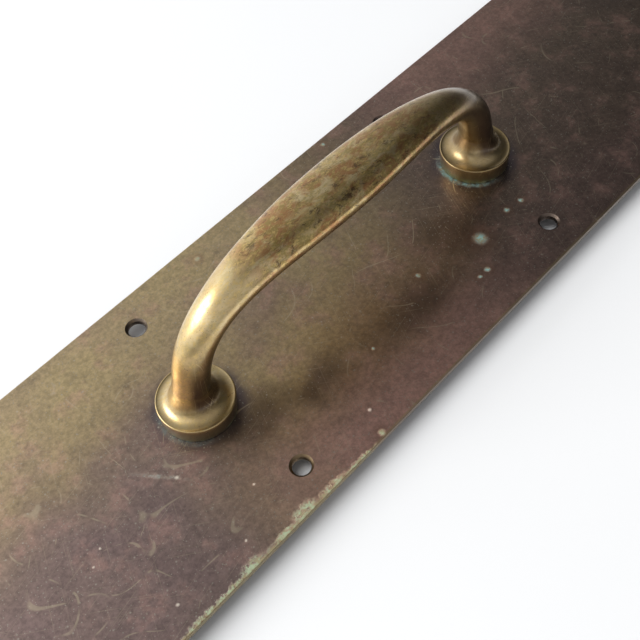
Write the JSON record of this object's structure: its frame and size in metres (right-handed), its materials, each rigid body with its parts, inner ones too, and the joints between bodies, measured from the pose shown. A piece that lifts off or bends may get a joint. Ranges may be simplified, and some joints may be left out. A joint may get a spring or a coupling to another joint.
{
  "type": "door pull plate",
  "caption": "Long rectangular brass door plate with countersunk screw holes and an arched cast pull handle on bell-shaped feet, fixed from behind by studs, washers and nuts.",
  "frame": {"origin": "centre of the plate's back face, the face that lies on the door", "axes": "+X along the plate, +Z out of the door towards the grip, +Y across the plate"},
  "size_m": [0.4, 0.1016, 0.0567],
  "materials": {
    "plate_brass": "aged",
    "handle_brass": "worn",
    "fixing_brass": "dull"
  },
  "bodies": {
    "root": {"back_plate": "plate_brass", "pull_handle": "handle_brass", "stud_a": "fixing_brass", "stud_b": "fixing_brass", "washer_a": "fixing_brass", "washer_b": "fixing_brass", "nut_a": "fixing_brass", "nut_b": "fixing_brass"}
  },
  "joints": []
}
